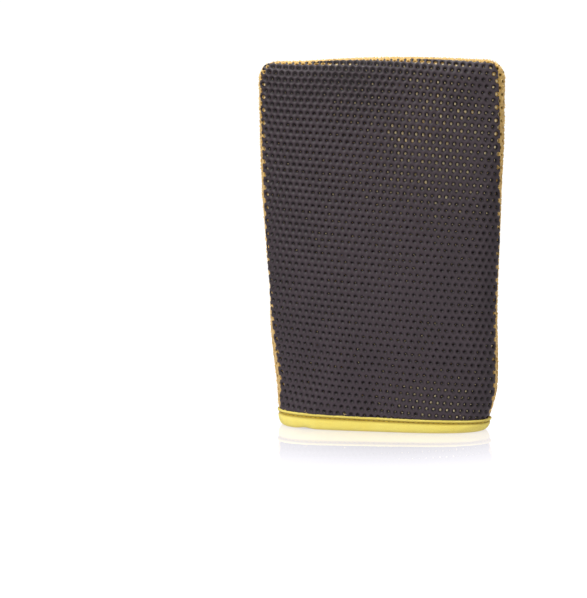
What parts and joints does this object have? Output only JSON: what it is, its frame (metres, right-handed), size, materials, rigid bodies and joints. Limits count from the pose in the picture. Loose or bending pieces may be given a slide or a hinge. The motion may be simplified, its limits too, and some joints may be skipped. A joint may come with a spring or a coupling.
{
  "type": "clay mitt",
  "caption": "Padded hand mitt for car detailing, with a moulded clay-polymer honeycomb face on knitted mesh and a bound open cuff.",
  "frame": {"origin": "under the middle of the cuff, at the height of its lower edge", "axes": "+Z from the cuff to the closed end, -Y out of the clay face, X across the mitt"},
  "size_m": [0.158, 0.0486, 0.24],
  "materials": {
    "clay_polymer": "satin",
    "knit_mesh": "matte",
    "foam": "matte",
    "lining_cloth": "matte",
    "binding_tape": "matte",
    "sewing_thread": "satin"
  },
  "bodies": {
    "root": {"clay_face": "clay_polymer", "front_mesh": "knit_mesh", "front_pad": "foam", "front_lining": "lining_cloth", "back_mesh": "knit_mesh", "back_pad": "foam", "back_lining": "lining_cloth", "shell_seam_thread": "sewing_thread", "lining_seam_thread": "sewing_thread", "cuff_binding": "binding_tape", "cuff_topstitch": "sewing_thread", "cuff_inside_stitch": "sewing_thread"}
  },
  "joints": []
}
